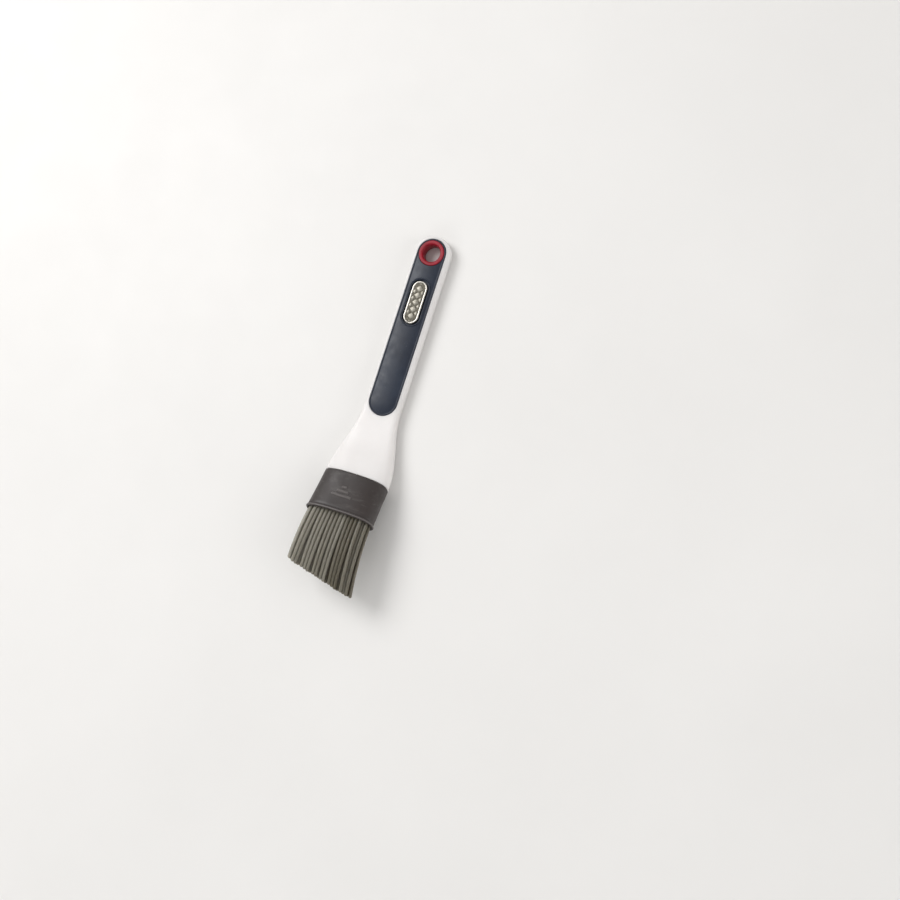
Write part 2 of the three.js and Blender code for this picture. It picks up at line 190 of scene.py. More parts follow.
def cut(piece, shells):
    """Takes closed shells out of the piece."""
    for shell in shells:
        tool = build("cutter", [shell], piece.data.materials[0])
        modifier = piece.modifiers.new("cut", "BOOLEAN")
        modifier.operation = "DIFFERENCE"
        modifier.solver = "EXACT"
        modifier.object = tool
        graph = bpy.context.evaluated_depsgraph_get()
        mesh = bpy.data.meshes.new_from_object(piece.evaluated_get(graph))
        piece.modifiers.clear()
        piece.data = mesh
        bpy.data.objects.remove(tool)
    piece.data.polygons.foreach_set("use_smooth", [True] * len(piece.data.polygons))
    piece.data.set_sharp_from_angle(angle=math.radians(SHARP))
    weighted = piece.modifiers.new("normals", "WEIGHTED_NORMAL")
    weighted.keep_sharp = True


def paint(piece, name, values):
    """Gives each point of a piece a value that its material reads."""
    piece.data.attributes.new(name, "FLOAT", "POINT").data.foreach_set("value", values)


def place(piece, body, slot, *nodes):
    """Puts a piece on its body, and in place of its CAD nodes; its slot is not used."""
    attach(piece, body)
    if nodes:
        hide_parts(*nodes)


def arc(steps, start=0.0, end=90.0):
    """(cosine, sine) pairs at even turns between two angles in degrees, ends included."""
    turns = [math.radians(lerp(start, end, k / steps)) for k in range(steps + 1)]
    return [(math.cos(turn), math.sin(turn)) for turn in turns]


def circle(steps):
    """(cosine, sine) pairs at even turns all the way round."""
    return arc(steps, 0, 360)[:-1]


# ---- Outlines of the handle's plates --------------------------------------------------

def stadium(half, top_y, bottom_y, height, end_steps=28, side_steps=24):
    """Ring of a plate with round ends. Height is a number, or a function of x and y."""
    top, bottom = top_y - half, bottom_y + half
    ring = [(half, lerp(bottom, top, k / side_steps)) for k in range(side_steps)]
    ring += [(half * c, top + half * s) for c, s in arc(end_steps, 0, 180)[:-1]]
    ring += [(-half, lerp(top, bottom, k / side_steps)) for k in range(side_steps)]
    ring += [(half * c, bottom + half * s) for c, s in arc(end_steps, 180, 360)[:-1]]
    level = height if callable(height) else lambda x, y: height
    return [Vector((x, y, level(x, y))) for x, y in ring]


def stack(half, top_y, bottom_y, profile):
    """Closed shell of stadium rings, with (inset, height) steps from the back to the front."""
    return skin([
        stadium(half - inset, top_y - inset, bottom_y + inset, height)
        for inset, height in profile
    ])


def pocket_cutter(half, top_y, bottom_y, floor, face, lip):
    """Cuts a pocket down from a face, and rounds its brim."""
    brim = [(-lip * (1 - c), face - lip * (1 - s)) for c, s in arc(4)]
    profile = [(0, floor)] + brim + [(-lip, face + CLEAR)]
    return stack(half, top_y, bottom_y, profile)


def bore_cutter(radius, y, low, high):
    """Cuts a round hole right through, between two heights."""
    return stack(radius, y + radius, y - radius, [(0, low - CLEAR), (0, high + CLEAR)])


# ---- Sections of the handle and the head ----------------------------------------------

def quarter_shares(quarter):
    """How far along its own length each point of an outline lies, from 0 to 1."""
    lengths = [0.0]
    for a, b in zip(quarter, quarter[1:]):
        lengths.append(lengths[-1] + math.dist(a, b))
    return [length / lengths[-1] for length in lengths]


def bar_quarter(half_width, half_thickness, edge):
    """(x, out) points from the middle of a bar's side to the middle of its face."""
    side_steps, corner_steps, face_steps = 3, 10, 14
    flat_side, flat_face = half_thickness - edge, half_width - edge
    points = [(half_width, flat_side * k / side_steps) for k in range(side_steps)]
    points += [(flat_face + edge * c, flat_side + edge * s) for c, s in arc(corner_steps)[:-1]]
    points += [(flat_face * (1 - k / face_steps), half_thickness) for k in range(face_steps + 1)]
    return points


def lens_quarter(half_width, half_thickness, power, shares):
    """Quarter of a superellipse, with its points at the given shares of its length."""
    turns = np.linspace(0, math.pi / 2, 600)
    x = half_width * np.cos(turns).clip(0) ** (2 / power)
    out = half_thickness * np.sin(turns) ** (2 / power)
    length = np.concatenate([[0], np.cumsum(np.hypot(np.diff(x), np.diff(out)))])
    at = np.array(shares) * length[-1]
    return list(zip(np.interp(at, length, x), np.interp(at, length, out)))


def whole_section(quarter):
    """All round a section, from the quarter between its side and its front."""
    ring = quarter[:-1]
    ring += [(-x, out) for x, out in reversed(quarter[1:])]
    ring += [(-x, -out) for x, out in quarter[:-1]]
    ring += [(x, -out) for x, out in reversed(quarter[1:])]
    return ring


BAR_SHARES = quarter_shares(bar_quarter(HANDLE_HALF_WIDTH, HANDLE_THICKNESS / 2, HANDLE_EDGE))
EVEN_SHARES = [k / (len(BAR_SHARES) - 1) for k in range(len(BAR_SHARES))]


def head_point(x, down, out):
    return SEAM + Vector((x, 0, 0)) + HEAD_AXIS * down + HEAD_FRONT * out


def head_ring(half, inset, power, down):
    quarter = lens_quarter(half[0] - inset, half[1] - inset, power, EVEN_SHARES)
    return [head_point(x, down, out) for x, out in whole_section(quarter)]


def collar_half(down):
    t = down / COLLAR_LENGTH
    return [lerp(a, b, t) for a, b in zip(SEAM_HALF, COLLAR_END_HALF)]


# ---- Materials ----------------------------------------------------------------------

class Surface:
    """A Principled material, with helpers for the nodes that drive it."""

    def __init__(self, name, roughness, metallic=0.0, **values):
        self.material = bpy.data.materials.new(name)
        self.material.use_nodes = True
        self.tree = self.material.node_tree
        self.shader = self.tree.nodes["Principled BSDF"]
        self.shader.inputs["Roughness"].default_value = roughness
        self.shader.inputs["Metallic"].default_value = metallic
        for key, value in values.items():
            self.shader.inputs[key.replace("_", " ")].default_value = value
        self.place = self.tree.nodes.new("ShaderNodeTexCoord").outputs["Object"]
        self.normal = None

    def link(self, source, target):
        self.tree.links.new(source, target)

    def noise(self, scale, detail=3, roughness=0.5, stretch=(1, 1, 1)):
        mapping = self.tree.nodes.new("ShaderNodeMapping")
        mapping.inputs["Scale"].default_value = stretch
        self.link(self.place, mapping.inputs["Vector"])
        made = self.tree.nodes.new("ShaderNodeTexNoise")
        made.inputs["Scale"].default_value = scale
        made.inputs["Detail"].default_value = detail
        made.inputs["Roughness"].default_value = roughness
        self.link(mapping.outputs["Vector"], made.inputs["Vector"])
        return made.outputs["Fac"]

    def distance(self):
        """How far a point is from the middle of the floor."""
        made = self.tree.nodes.new("ShaderNodeVectorMath")
        made.operation = "LENGTH"
        self.link(self.place, made.inputs[0])
        return made.outputs["Value"]

    def attribute(self, name):
        made = self.tree.nodes.new("ShaderNodeAttribute")
        made.attribute_name = name
        return made.outputs["Fac"]

    def cells(self, scale):
        made = self.tree.nodes.new("ShaderNodeTexVoronoi")
        made.inputs["Scale"].default_value = scale
        self.link(self.place, made.inputs["Vector"])
        return made.outputs["Distance"]

    def ramp(self, source, *stops):
        made = self.tree.nodes.new("ShaderNodeValToRGB")
        for element, (position, color) in zip(made.color_ramp.elements, stops):
            element.position = position
            element.color = (*color, 1)
        self.link(source, made.inputs["Fac"])
        return made.outputs["Color"]

    def span(self, source, low, high, start=0.3, end=0.7):
        made = self.tree.nodes.new("ShaderNodeMapRange")
        made.inputs["From Min"].default_value = start
        made.inputs["From Max"].default_value = end
        made.inputs["To Min"].default_value = low
        made.inputs["To Max"].default_value = high
        self.link(source, made.inputs["Value"])
        return made.outputs["Result"]

    def mix(self, factor, first, second):
        """Colour `first` where the factor is 0, and the plain colour `second` where it is 1."""
        made = self.tree.nodes.new("ShaderNodeMixRGB")
        self.link(factor, made.inputs["Fac"])
        self.link(first, made.inputs["Color1"])
        made.inputs["Color2"].default_value = (*second, 1)
        return made.outputs["Color"]

    def color(self, source):
        self.link(source, self.shader.inputs["Base Color"])

    def roughness(self, source):
        self.link(source, self.shader.inputs["Roughness"])

    def bump(self, source, depth, strength):
        """Adds a bump of that depth in metres on top of those already there."""
        made = self.tree.nodes.new("ShaderNodeBump")
        made.inputs["Distance"].default_value = depth
        made.inputs["Strength"].default_value = strength
        self.link(source, made.inputs["Height"])
        if self.normal:
            self.link(self.normal, made.inputs["Normal"])
        self.normal = made.outputs["Normal"]
        self.link(self.normal, self.shader.inputs["Normal"])


def white_plastic():
    s = Surface("white_plastic", 0.4, IOR=1.45, Subsurface_Weight=0.5,
                Subsurface_Scale=0.006, Subsurface_Radius=(1, 0.97, 0.94))
    s.color(s.ramp(s.noise(35, detail=4), (0.3, (0.735, 0.712, 0.70)), (0.7, (0.78, 0.76, 0.75))))
    s.roughness(s.span(s.noise(160, detail=5), 0.34, 0.48))
    s.bump(s.noise(1400, detail=2), 0.02 * MM, 0.35)
    s.bump(s.noise(90, detail=2), 0.1 * MM, 0.25)
    return s.material


def soft_grip():
    s = Surface("soft_grip", 0.4, IOR=1.42, Sheen_Weight=0.15, Sheen_Roughness=0.4,
                Sheen_Tint=(0.6, 0.72, 0.9, 1))
    tint = s.noise(60, detail=5, roughness=0.6)
    base = s.ramp(tint, (0.3, (0.007, 0.011, 0.023)), (0.72, (0.014, 0.021, 0.038)))
    dust = s.ramp(s.noise(700, detail=3, roughness=0.7), (0.62, (0, 0, 0)), (0.85, (1, 1, 1)))
    s.color(s.mix(dust, base, (0.05, 0.058, 0.07)))
    s.roughness(s.span(s.noise(220, detail=4), 0.33, 0.47))
    s.bump(s.cells(2600), 0.03 * MM, 0.35)
    s.bump(s.noise(120, detail=2), 0.12 * MM, 0.3)
    return s.material


def red_plastic():
    s = Surface("red_plastic", 0.4, IOR=1.38, Subsurface_Weight=0.1, Subsurface_Scale=0.001)
    s.color(s.ramp(s.noise(180), (0.3, (0.21, 0.002, 0.011)), (0.7, (0.29, 0.004, 0.018))))
    s.roughness(s.span(s.noise(500), 0.3, 0.44))
    s.bump(s.noise(900, detail=2), 0.03 * MM, 0.3)
    return s.material


def satin_nickel():
    s = Surface("satin_nickel", 0.28, metallic=1.0)
    s.color(s.ramp(s.noise(260), (0.3, (0.50, 0.475, 0.43)), (0.7, (0.62, 0.59, 0.54))))
    brushed = s.noise(900, detail=2, stretch=(1, 0.05, 1))
    s.roughness(s.span(brushed, 0.2, 0.36))
    s.bump(brushed, 0.02 * MM, 0.3)
    return s.material


def worn_nickel():
    """The badge's relief: the same metal, duller and a little darker."""
    s = Surface("worn_nickel", 0.45, metallic=1.0)
    s.color(s.ramp(s.noise(800, detail=4), (0.3, (0.24, 0.225, 0.19)), (0.7, (0.40, 0.38, 0.33))))
    s.roughness(s.span(s.noise(1400), 0.38, 0.58))
    s.bump(s.noise(2000), 0.03 * MM, 0.4)
    return s.material


def dark_nickel():
    """The badge's sunk field, stippled and darkened."""
    s = Surface("dark_nickel", 0.45, metallic=0.9)
    tint = s.noise(700, detail=4, roughness=0.7)
    s.color(s.ramp(tint, (0.35, (0.06, 0.054, 0.042)), (0.7, (0.14, 0.13, 0.105))))
    s.roughness(s.span(s.noise(1500), 0.35, 0.55))
    s.bump(s.noise(2400), 0.06 * MM, 0.5)
    return s.material


def foam_tape():
    s = Surface("foam_tape", 0.85)
    s.color(s.ramp(s.noise(900), (0.3, (0.55, 0.55, 0.50)), (0.7, (0.72, 0.72, 0.68))))
    s.roughness(s.span(s.noise(600), 0.75, 0.95))
    s.bump(s.cells(1800), 0.1 * MM, 0.6)
    return s.material


def collar_silicone():
    """Dark silicone, dusty in streaks, and lighter where its attribute says: a painted highlight
    along the lip's bead and over the marks.
    """
    s = Surface("collar_silicone", 0.5, IOR=1.5, Sheen_Weight=0.08, Sheen_Roughness=0.5)
    tint = s.noise(45, detail=5, roughness=0.6)
    base = s.ramp(tint, (0.3, (0.016, 0.010, 0.009)), (0.7, (0.029, 0.021, 0.019)))
    streak = s.noise(300, detail=5, roughness=0.7, stretch=(0.3, 1, 1))
    dust = s.ramp(streak, (0.54, (0, 0, 0)), (0.74, (0.45, 0.45, 0.45)))
    dusty = s.mix(dust, base, (0.11, 0.10, 0.095))
    # painted highlight: the lighter colour laid on the bead's crest and on the marks
    s.color(s.mix(s.attribute("painted_highlight"), dusty, (0.125, 0.112, 0.107)))
    s.roughness(s.span(s.noise(150, detail=4), 0.38, 0.55))
    s.bump(s.noise(1500, detail=2), 0.03 * MM, 0.4)
    s.bump(s.noise(140), 0.2 * MM, 0.35)
    return s.material


def bristle_silicone():
    s = Surface("bristle_silicone", 0.42, IOR=1.42, Subsurface_Weight=0.8,
                Subsurface_Scale=0.003, Subsurface_Radius=(1, 0.93, 0.82))
    # the tone holds random tone plus painted shade that darkens and browns the bristles towards +X
    tone = s.attribute("tone")
    base = s.ramp(tone, (0, (0.058, 0.047, 0.025)), (1, (0.295, 0.283, 0.243)))
    s.color(s.mix(s.span(s.noise(240), 0.0, 0.3), base, (0.10, 0.09, 0.064)))
    s.roughness(s.span(s.noise(600), 0.34, 0.52))
    s.bump(s.noise(1200, detail=2, stretch=(1, 0.3, 1)), 0.04 * MM, 0.4)
    return s.material


WHITE = white_plastic()
GRIP = soft_grip()
RED = red_plastic()
NICKEL = satin_nickel()
WORN_NICKEL = worn_nickel()
DARK_NICKEL = dark_nickel()
TAPE = foam_tape()
COLLAR = collar_silicone()
BRISTLE = bristle_silicone()


# ---- Handle -------------------------------------------------------------------------

def round_end_rings(section, steps=30):
    """From the handle's tip to the hanging hole, each section spread along half a circle."""
    flat_reach = HANDLE_HALF_WIDTH - HANDLE_EDGE
    rings = []
    for c, s in arc(steps, 90, 0)[:-1]:
        rings.append([
            Vector((x * c, RING_Y + max(abs(x), flat_reach) * s, HANDLE_THICKNESS / 2 + out))
            for x, out in section
        ])
    return rings


def neck_rings(steps=44):
    """The bar turns into the head's lens section as it climbs, with its back kept flat."""
    straight = FLARE_START_Y - NECK_START_Y
    total = straight + NECK_RADIUS * HEAD_TILT
    rings = []
    for i in range(steps + 1):
        travel = total * i / steps
        blend = smoothstep(i / steps)
        climb = max(0.0, travel - straight) / NECK_RADIUS
        y = FLARE_START_Y - min(travel, straight) - NECK_RADIUS * math.sin(climb)
        z = HANDLE_THICKNESS / 2 + NECK_RADIUS * (1 - math.cos(climb))
        wide = lerp(HANDLE_HALF_WIDTH, SEAM_HALF[0], blend)
        thick = lerp(HANDLE_THICKNESS / 2, SEAM_HALF[1], blend)
        shares = [lerp(a, b, blend) for a, b in zip(BAR_SHARES, EVEN_SHARES)]
        bar = bar_quarter(wide, thick, HANDLE_EDGE)
        lens = lens_quarter(wide, thick, COLLAR_POWER, shares)
        quarter = [(lerp(a, c, blend), lerp(b, d, blend)) for (a, b), (c, d) in zip(bar, lens)]
        back_share = min(1.0, z / (thick * math.cos(climb)))
        ring = []
        for x, out in whole_section(quarter):
            reach = out * back_share if out < 0 else out
            ring.append(Vector((x, y + reach * math.sin(climb), z + reach * math.cos(climb))))
        rings.append(ring)
    return rings


def handle_rings():
    section = whole_section(bar_quarter(HANDLE_HALF_WIDTH, HANDLE_THICKNESS / 2, HANDLE_EDGE))
    rings = round_end_rings(section)
    bar_steps = 14
    for k in range(bar_steps):
        y = lerp(RING_Y, FLARE_START_Y, k / bar_steps)
        rings.append([Vector((x, y, HANDLE_THICKNESS / 2 + out)) for x, out in section])
    rings += neck_rings()
    tip_edge = 1 * MM
    rings.append(head_ring(TONGUE_HALF, 0, TONGUE_POWER, 0))
    rings += [
        head_ring(TONGUE_HALF, tip_edge * (1 - c), TONGUE_POWER, TONGUE_LENGTH - tip_edge * (1 - s))
        for c, s in arc(5)
    ]
    return rings


def make_handle():
    handle = build("handle_shell", [skin(handle_rings(), cap_first=False)], WHITE)
    top = RING_Y + POCKET_HALF
    lip = 0.16 * MM
    front = pocket_cutter(POCKET_HALF, top, POCKET_END_Y, POCKET_FLOOR, HANDLE_THICKNESS, lip)
    back = stack(POCKET_HALF, top, POCKET_END_Y, [
        (-lip, -CLEAR), (-lip, 0), (-lip / 2, lip / 4), (0, lip), (0, REAR_POCKET_TOP)])
    bore = bore_cutter(RING_RADIUS + FIT, RING_Y, 0, HANDLE_THICKNESS)
    cut(handle, [front, back, bore])
    place(handle, "handle", "white_plastic", "handle_body")


# ---- Grips --------------------------------------------------------------------------

def crown_height(x, y):
    """Height of the front grip's crowned face, inside the valley along its edge."""
    end = max(0.0, POCKET_END_Y + POCKET_HALF - y, y - RING_Y)
    across = min(1.0, math.hypot(x, end) / (GRIP_HALF - GRIP_VALLEY))
    return lerp(GRIP_CROWN_Z, GRIP_VALLEY_Z, across ** CROWN_POWER)


def make_front_grip():
    profile = [(0, POCKET_FLOOR + 0.03 * MM)]
    profile += [
        (GRIP_SHOULDER * (1 - c), GRIP_SHOULDER_Z - GRIP_SHOULDER * (1 - s))
        for c, s in arc(12, 0, 128)
    ]
    shoulder_end = GRIP_SHOULDER * 1.62  # about where that arc ends
    profile.append((lerp(shoulder_end, GRIP_VALLEY, 0.6), GRIP_VALLEY_Z + 0.01 * MM))
    crown_steps = 14
    for k in range(crown_steps + 1):
        inset = lerp(GRIP_VALLEY, GRIP_HALF - 0.05 * MM, k / crown_steps)
        profile.append((inset, crown_height))
    shell = stack(GRIP_HALF, RING_Y + GRIP_HALF, POCKET_END_Y + FIT, profile)
    grip = build("front_inlay", [shell], GRIP)

    groove, ledge, seat_brim = 1.0 * MM, 1.7 * MM, 0.22 * MM
    ledge_z = BADGE_FOOT_Z - 0.1 * MM
    seat = stack(BADGE_HIGH.x + groove, BADGE_HIGH.y + groove, BADGE_LOW.y - groove, [
        (ledge, POCKET_FLOOR - FIT), (ledge, ledge_z), (0, ledge_z), (0, GRIP_CROWN_Z - 0.35 * MM),
        (-0.07 * MM, GRIP_CROWN_Z - 0.15 * MM), (-seat_brim, GRIP_CROWN_Z - 0.02 * MM),
        (-seat_brim, GRIP_CROWN_Z + CLEAR)])
    radius, bore_brim = RING_RADIUS + FIT, 0.2 * MM
    bore = stack(radius, RING_Y + radius, RING_Y - radius, [
        (0, -CLEAR), (0, GRIP_SHOULDER_Z - 0.3 * MM), (-0.06 * MM, GRIP_SHOULDER_Z - 0.17 * MM),
        (-bore_brim, GRIP_SHOULDER_Z - 0.1 * MM), (-bore_brim, GRIP_SHOULDER_Z + CLEAR)])
    cut(grip, [seat, bore])
    place(grip, "handle", "soft_grip", "front_grip")


def make_badge_line():
    """The fine raised line round the badge."""
    offset, radius = 1.7 * MM, 0.42 * MM
    rings = []
    for c, s in circle(12):
        spread = offset + radius * c
        rings.append(stadium(
            BADGE_HIGH.x + spread, BADGE_HIGH.y + spread, BADGE_LOW.y - spread,
            lambda x, y, rise=radius * s: crown_height(x, y) + rise))
    line = build("badge_line", [skin(rings, closed=True)], GRIP)
    place(line, "handle", "soft_grip")


def make_rear_grip():
    edge = 0.4 * MM
    profile = [(edge * (1 - c), edge * (1 - s)) for c, s in reversed(arc(5))]
    profile.append((0, REAR_POCKET_TOP - 0.03 * MM))
    shell = stack(GRIP_HALF, RING_Y + GRIP_HALF, POCKET_END_Y + FIT, profile)
    grip = build("rear_inlay", [shell], GRIP)
    cut(grip, [bore_cutter(RING_RADIUS + FIT, RING_Y, 0, REAR_POCKET_TOP)])
    place(grip, "handle", "soft_grip", "rear_grip")


# ---- Ring and badge -----------------------------------------------------------------

def make_ring():
    """A bush with a chamfered mouth, a low crowned face and a straight bore."""
    outer, inner = RING_RADIUS, RING_INNER_RADIUS
    mouth, edge = 0.4 * MM, 0.35 * MM
    face = [(inner, -0.8 * MM), (inner + 0.06 * MM, -0.62 * MM),
            (inner + mouth, -0.2 * MM), (inner + mouth + 0.14 * MM, -0.1 * MM)]
    face += [(lerp(inner + mouth + 0.3 * MM, outer - edge, k / 4), 0) for k in range(4)]
    face += [(outer - edge * (1 - s), -edge * (1 - c)) for c, s in arc(5)]
    front = [(radius, RING_HIGH.z + drop) for radius, drop in face]
    back = [(radius, RING_LOW.z - drop) for radius, drop in reversed(face)]
    rings = []
    for radius, z in front + back:
        rings.append([Vector((radius * c, RING_Y + radius * s, z)) for c, s in circle(96)])
    ring = build("hanging_bush", [skin(rings, closed=True)], RED, sharp=50)
    place(ring, "handle", "red_plastic", "hanging_ring")


def lozenge(centre, half_length, half_width, height, foot):
    """A raised diamond with sloping sides and a small flat top."""
    corners = [(half_width, 0), (0, half_length), (-half_width, 0), (0, -half_length)]
    levels = [(1, -foot), (1, 0), (0.9, 0.45 * height), (0.55, 0.85 * height), (0.3, height)]
    return skin([
        [centre + Vector((x * scale, y * scale, rise)) for x, y in corners]
        for scale, rise in levels
    ])


def stud(centre, radius, height, foot):
    """A low round stud."""
    rings = [[centre + Vector((radius * c, radius * s, -foot)) for c, s in circle(20)]]
    for scale, rise in arc(5, 0, 84):
        rings.append([
            centre + Vector((radius * scale * c, radius * scale * s, height * rise))
            for c, s in circle(20)
        ])
    return skin(rings)


def make_badge():
    half = BADGE_HIGH.x
    rim, depth, edge, foot_edge = 1.0 * MM, 0.5 * MM, 0.3 * MM, 0.1 * MM
    field_z = BADGE_HIGH.z - depth
    profile = [(foot_edge, BADGE_FOOT_Z + 0.01 * MM), (0, BADGE_FOOT_Z + foot_edge)]
    profile += [(rim / 2 * (1 - c), BADGE_HIGH.z - edge * (1 - s)) for c, s in arc(10, 0, 180)]
    profile += [(rim, field_z), (half - 0.05 * MM, field_z)]
    plate = build("badge_body", [stack(half, BADGE_HIGH.y, BADGE_LOW.y, profile)], NICKEL, 55)
    place(plate, "handle", "satin_nickel", "badge_plate")

    inset = rim + 0.01 * MM
    top, low = field_z + 0.06 * MM, field_z + 0.01 * MM
    field = build("badge_field", [stack(half - inset, BADGE_HIGH.y - inset, BADGE_LOW.y + inset, [
        (0, low), (0.02 * MM, top), (half - inset - 0.05 * MM, top)])], DARK_NICKEL)
    place(field, "handle", "satin_nickel")

    middle = (BADGE_HIGH.y + BADGE_LOW.y) / 2
    pitch, count, foot = 4.3 * MM, 5, 0.03 * MM
    large = (2.1 * MM, 2.15 * MM, 0.45 * MM)  # half length, half width and height
    small = (1.7 * MM, 1.05 * MM, 0.36 * MM)
    small_x, stud_y = 2.45 * MM, 11.5 * MM
    shells = []
    for k in range(count):
        centre = Vector((0, middle + (k - (count - 1) / 2) * pitch, top))
        shells.append(lozenge(centre, *large, foot))
    for k in range(count - 1):
        for side in (-1, 1):
            centre = Vector((side * small_x, middle + (k - (count - 2) / 2) * pitch, top))
            shells.append(lozenge(centre, *small, foot))
    for end in (-1, 1):
        centre = Vector((0, middle + end * stud_y, top))
        shells.append(stud(centre, 0.62 * MM, 0.36 * MM, foot))
    relief = build("badge_relief", shells, WORN_NICKEL, sharp=30)
    place(relief, "handle", "satin_nickel")


# ---- Collar -------------------------------------------------------------------------

def painted_bead_highlight(point, crest):
    """Painted highlight on the collar: lighter all along the crest of the bead at its lip."""
    away = point - SEAM
    down = away.dot(HEAD_AXIS)
    half_width, half_thickness = collar_half(down)
    swell = (abs(away.x) / half_width) ** COLLAR_POWER
    swell += (abs(away.dot(HEAD_FRONT)) / half_thickness) ** COLLAR_POWER
    stands_out = swell > 1.001
    reach = 0.6 * MM
    return max(0.0, 1 - abs(down - crest) / reach) if stands_out else 0.0


def make_collar():
    """One skin: up the socket, over the mouth, down the outside, round the lip, to the recess."""
    gap = 0.15 * MM
    mouth_wall, mouth_edge = 2.4 * MM, 0.6 * MM
    end_edge, corner = 0.2 * MM, 0.4 * MM
    closing = 0.3 * MM  # half-thickness of the narrow ring that closes a floor
    socket = [half + gap for half in TONGUE_HALF]
    floor = TONGUE_LENGTH + gap
    rings = []

    def ring(down, inset, half=None, power=COLLAR_POWER):
        rings.append(head_ring(half or collar_half(down), inset, power, down))

    ring(floor, socket[1] - closing, socket, TONGUE_POWER)
    for down in (floor, floor / 2, 1 * MM, gap):
        ring(down, 0, socket, TONGUE_POWER)
    ring(gap, mouth_wall)
    for c, s in arc(6, 90, 0):
        ring(gap + mouth_edge * (1 - s), mouth_edge * (1 - c))
    bead_length, bead_height = 1.5 * MM, 0.5 * MM
    bead_start = COLLAR_LENGTH - bead_length
    waist_steps = 12
    for k in range(1, waist_steps + 1):
        t = k / waist_steps
        waist = WAIST * math.sin(math.pi * t)
        ring(lerp(mouth_edge + gap, bead_start - 0.3 * MM, t), waist)
    ring(bead_start - 0.12 * MM, 0.2 * MM)
    for c, s in arc(8, 180, 0):
        ring(lerp(bead_start, COLLAR_LENGTH, (1 + c) / 2), -bead_height * s)
    ring(COLLAR_LENGTH, end_edge)
    for c, s in arc(4, 90, 180):
        ring(COLLAR_LENGTH + end_edge * (s - 1), LIP_WALL - end_edge * (1 + c))
    recess = [half - LIP_WALL for half in COLLAR_END_HALF]
    for down in (COLLAR_LENGTH - 0.8 * MM, RECESS_FLOOR + corner):
        ring(down, 0, recess)
    for c, s in arc(4):
        ring(RECESS_FLOOR + corner * (1 - s), corner * (1 - c), recess)
    ring(RECESS_FLOOR, recess[1] - closing, recess)
    collar = build("collar_moulding", [skin(rings)], COLLAR, sharp=50)
    crest = COLLAR_LENGTH - bead_length / 2
    # painted highlight: lighter colour along the crest of the lip's bead
    paint(collar, "painted_highlight", [painted_bead_highlight(vertex.co, crest) for vertex in collar.data.vertices])
    place(collar, "head", "collar_silicone", "head_collar")


def make_marks():
    """Three raised bars on the front of the collar, growing towards the bristles."""
    half_width, height, foot = 0.75 * MM, 0.6 * MM, 0.5 * MM
    first_down, pitch = 10.2 * MM, 2.7 * MM
    offset = -1.5 * MM
    shells = []
    for index, length in enumerate((3.6 * MM, 7.8 * MM, 13 * MM)):
        down = first_down + index * pitch
        front = collar_half(down)[1] - WAIST
        reach = length / 2 - half_width
        rings = []
        for scale, rise in [(1, -foot), (1, 0)] + arc(5, 15, 75):
            level = -foot if rise < 0 else height * rise
            ring = []
            for c, s in circle(28):
                x = offset + math.copysign(reach, c) + half_width * scale * c
                sag = front * (1 - (1 - (abs(x) / collar_half(down)[0]) ** COLLAR_POWER)
                               ** (1 / COLLAR_POWER))
                ring.append(head_point(x, down - half_width * scale * s, front - sag + level))
            rings.append(ring)
        shells.append(skin(rings))
    marks = build("collar_marks", shells, COLLAR, sharp=50)
    # painted highlight: the marks are coloured lighter all over
    paint(marks, "painted_highlight", [0.65] * len(marks.data.vertices))
    place(marks, "head", "collar_silicone")


# ---- Bristles -----------------------------------------------------------------------

BRISTLE_RINGS = 22
BRISTLE_SIDES = 12
# Clumps of bristles: the column at which each ends, and how far its tips drift sideways
CLUMPS = ((4, -0.1 * MM), (7, -0.15 * MM), (9, -0.05 * MM), (11, -0.3 * MM),
          (14, -0.05 * MM), (16, 0.25 * MM), (17, 0.6 * MM))
CLUMPING = 0.24


def clump_pull(column):
    """How far the tip of a bristle leans towards the middle of its clump."""
    start = 0
    for end, drift in CLUMPS:
        if column < end:
            break
        start = end
    middle = (start + end - 1) / 2
    return (middle - column) * CLUMPING * TIP_PITCH + drift


def bristle_line(root_x, tip_x, out, lean, lift, trim):
    """Centre line of a bristle: (point, climb, share) from the recess floor to its tip."""
    root = head_point(root_x, RECESS_FLOOR - FOOT_DEPTH, out)
    tip_y = TIP_MIDDLE_Y - tip_x * math.tan(CUT_ANGLE) + trim
    rise = math.sin(HEAD_TILT) - SWEEP_RATE * (root.y - tip_y)
    length = (HEAD_TILT - math.asin(rise)) / SWEEP_RATE
    line = []
    for i in range(BRISTLE_RINGS + 1):
        t = i / BRISTLE_RINGS
        climb = HEAD_TILT - SWEEP_RATE * length * t
        y = root.y - (math.sin(HEAD_TILT) - math.sin(climb)) / SWEEP_RATE
        z = root.z + (math.cos(climb) - math.cos(HEAD_TILT)) / SWEEP_RATE
        bow = t ** 1.6
        line.append((Vector((lerp(root_x, tip_x, t) + lean * bow, y, z + lift * bow)), climb, t))
    return line, length


def bristle_shell(line, length):
    """Tapered, slightly flat bristle with a foot that spreads and a rounded tip."""
    rings = []
    for point, climb, t in line:
        along = t * length
        spread = FOOT_SPREAD * math.exp(-along / FOOT_FADE)
        from_tip = (length - along) / TIP_RADIUS
        rounding = math.sqrt(max(0.0, 1 - max(0.0, 1 - from_tip) ** 2))
        radius = (lerp(ROOT_RADIUS, TIP_RADIUS, t) + spread) * max(0.12, rounding)
        across = Vector((0, math.sin(climb), math.cos(climb)))
        rings.append([
            point + Vector((radius * c, 0, 0)) + across * (FLATNESS * radius * s)
            for c, s in circle(BRISTLE_SIDES)
        ])
    return skin(rings)


def refine_tip(line, length):
    """Adds sections close to the tip, where the bristle rounds off."""
    before, last = line[-2], line[-1]
    extra = []
    for from_tip in (0.9, 0.6, 0.35, 0.15, 0.04):
        t = 1 - from_tip * TIP_RADIUS / length
        share = (t - before[2]) / (last[2] - before[2])
        if share > 0:
            extra.append((before[0].lerp(last[0], share), lerp(before[1], last[1], share), t))
    return line[:-1] + extra + [last]


